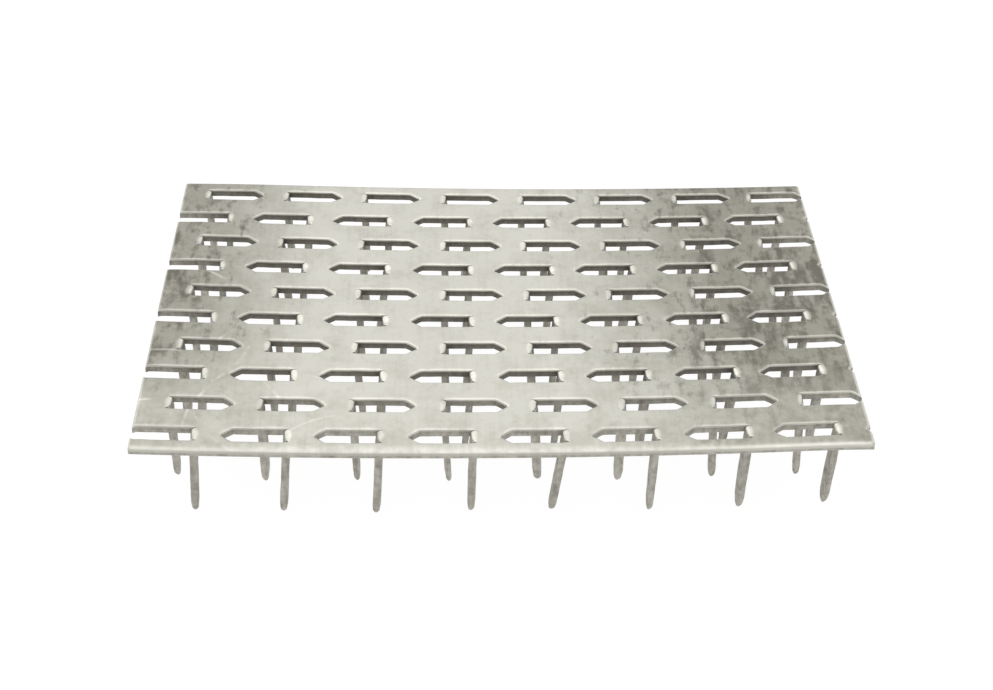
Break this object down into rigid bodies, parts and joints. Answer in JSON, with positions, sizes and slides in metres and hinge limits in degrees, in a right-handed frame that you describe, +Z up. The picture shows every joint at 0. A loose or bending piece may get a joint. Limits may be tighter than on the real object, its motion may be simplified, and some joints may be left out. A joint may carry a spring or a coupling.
{
  "type": "truss nail plate",
  "caption": "Galvanised steel truss nail plate, slightly bowed, with staggered rows of pointed slots, each with its own long tooth bent down from it.",
  "frame": {"origin": "middle of the plate, on the level of the lowest tooth tips, which it stands on", "axes": "+X along the coil and the slots, +Y across the rows towards the back, +Z up from the tooth tips to the plate's upper face"},
  "size_m": [0.1016, 0.064, 0.016],
  "materials": {
    "galvanised_steel": "dull galvanised, mottled"
  },
  "bodies": {
    "root": {"nail_plate": "galvanised_steel"}
  },
  "joints": []
}
